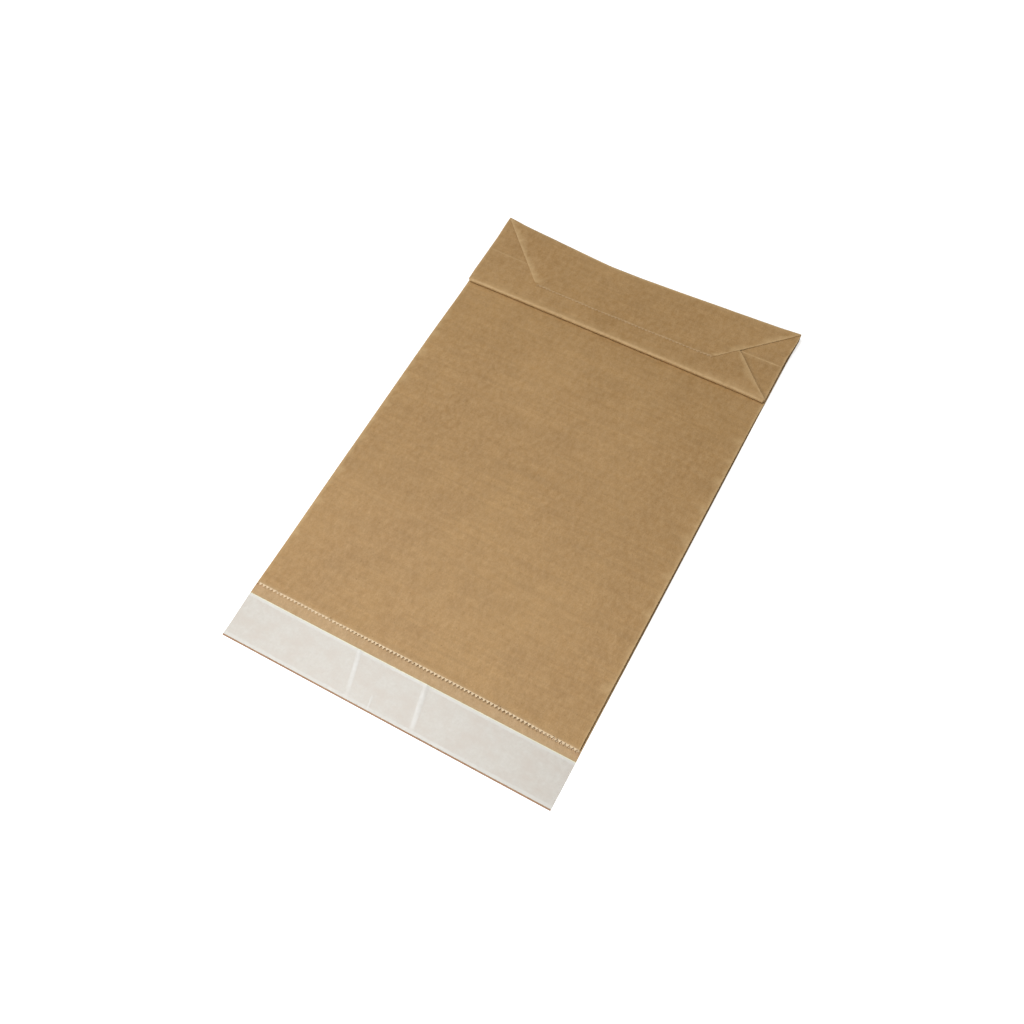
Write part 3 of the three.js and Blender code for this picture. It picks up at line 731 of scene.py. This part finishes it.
def make_liner(shift):
    """The liner, spread with the flap and puffed a little, with its air channels marked."""
    piece, bm = edited("release_liner", "mailer_liner")
    low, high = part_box("release_liner")
    divide(bm, lambda m: [e for e in m.edges if e.calc_length() > 4 * MM], 8)
    # The air channels stand up from the flat liner, from 0.1 mm above its underside.
    lifts = [max(0.0, min(1.0, (v.co.z - low.z - 0.1 * MM) / (0.1 * MM))) for v in bm.verts]
    for v in bm.verts:
        # The liner keeps to the flap's slightly spread sides.
        spread, drift = sideways(shift[1] - v.co.y / MM)
        x = v.co.x / MM - shift[0]
        v.co.x = (x * (1 + spread / HALF) - drift + shift[0]) * MM
        puffs = noise.noise(Vector((v.co.x * 60, v.co.y * 60, 5.0)))
        v.co.z += max(0.0, puffs) * 0.05 * MM
    for e in bm.edges:
        e.smooth = e.calc_face_angle(0) < math.radians(60)
    finish_mesh(piece, bm)
    add_mask(piece.data, "lift", lifts)
    piece.data.materials.append(silicone_paper(low, high))
    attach(piece, "root")
    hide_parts("release_liner")


def make_adhesive():
    """The adhesive keeps its CAD mesh and gets a material."""
    piece = nodes["adhesive_strip"]
    t = Tree("hot_melt")
    plain = t.place()
    streaks = t.noise(t.place((0.2, 1, 1)), 700, 3, 0.6)
    color = t.mix(t.range(streaks, 0.3, 0.7, 0, 1), linear(226, 205, 168), linear(238, 222, 190))
    rough = t.range(t.noise(plain, 400, 2), 0.3, 0.7, 0.22, 0.4)
    material = t.surface(color, rough, t.bump(streaks, 0.3, 0.0001), Specular_IOR_Level=0.5)
    piece.data.materials.clear()
    piece.data.materials.append(material)


# Floor and light
FLOOR_WHITE = 0.62
# How strongly the surroundings light the object, and each lamp's name, place, size and watts.
DOME = 0.28
LAMPS = (("key", (-0.6, 0.2, 1.9), 0.9, 19.4), ("front", (-0.1, -0.75, 0.55), 0.6, 4.0))
LAMPS_AIM = Vector((0, -0.05, 0))


def camera_white(t, plain_shader, strength):
    """Adds white to what the camera, a reflection or a glass sees, and not to what lights the object."""
    path = t.add("ShaderNodeLightPath")
    seen = t.math("MAXIMUM", path.outputs["Is Camera Ray"], path.outputs["Is Glossy Ray"])
    seen = t.math("MAXIMUM", seen, path.outputs["Is Transmission Ray"])
    glow = t.add("ShaderNodeEmission")
    t.put(glow.inputs["Strength"], t.math("MULTIPLY", seen, strength))
    both = t.add("ShaderNodeAddShader")
    t.put(both.inputs[0], plain_shader)
    t.put(both.inputs[1], glow.outputs[0])
    t.tree.links.new(both.outputs[0], t.out.inputs["Surface"])


def make_floor():
    """A wide disk that the camera sees as white, with the object's shadow on it."""
    bm = bmesh.new()
    bmesh.ops.create_circle(bm, cap_ends=True, segments=96, radius=6)
    mesh = bpy.data.meshes.new("floor")
    bm.to_mesh(mesh)
    bm.free()
    floor = bpy.data.objects.new("floor", mesh)
    floor.location = (0, 0, -0.0001)
    bpy.context.scene.collection.objects.link(floor)
    t = Tree("floor_white")
    diffuse = t.add("ShaderNodeBsdfDiffuse")
    diffuse.inputs["Color"].default_value = (0.82, 0.82, 0.82, 1)
    camera_white(t, diffuse.outputs[0], FLOOR_WHITE)
    mesh.materials.append(t.material)


def make_light():
    """Surroundings that the camera sees as white, and soft lamps."""
    world = bpy.data.worlds.new("studio")
    world.use_nodes = True
    bpy.context.scene.world = world
    tree = world.node_tree
    background = tree.nodes["Background"]
    path = tree.nodes.new("ShaderNodeLightPath")
    seen = tree.nodes.new("ShaderNodeMath")
    seen.operation = "MULTIPLY_ADD"
    tree.links.new(path.outputs["Is Camera Ray"], seen.inputs[0])
    seen.inputs[1].default_value = 1 - DOME
    seen.inputs[2].default_value = DOME
    tree.links.new(seen.outputs[0], background.inputs["Strength"])
    background.inputs["Color"].default_value = (1, 1, 1, 1)
    for name, place, size, watts in LAMPS:
        data = bpy.data.lights.new(name, "AREA")
        data.shape = "DISK"
        data.size = size
        data.energy = watts
        lamp = bpy.data.objects.new(name, data)
        lamp.location = place
        lamp.rotation_euler = (LAMPS_AIM - Vector(place)).to_track_quat("-Z", "Y").to_euler()
        bpy.context.scene.collection.objects.link(lamp)


paper_shift = make_paper()
make_liner(paper_shift)
make_adhesive()
make_floor()
make_light()

bpy.context.scene.view_settings.view_transform = "Standard"
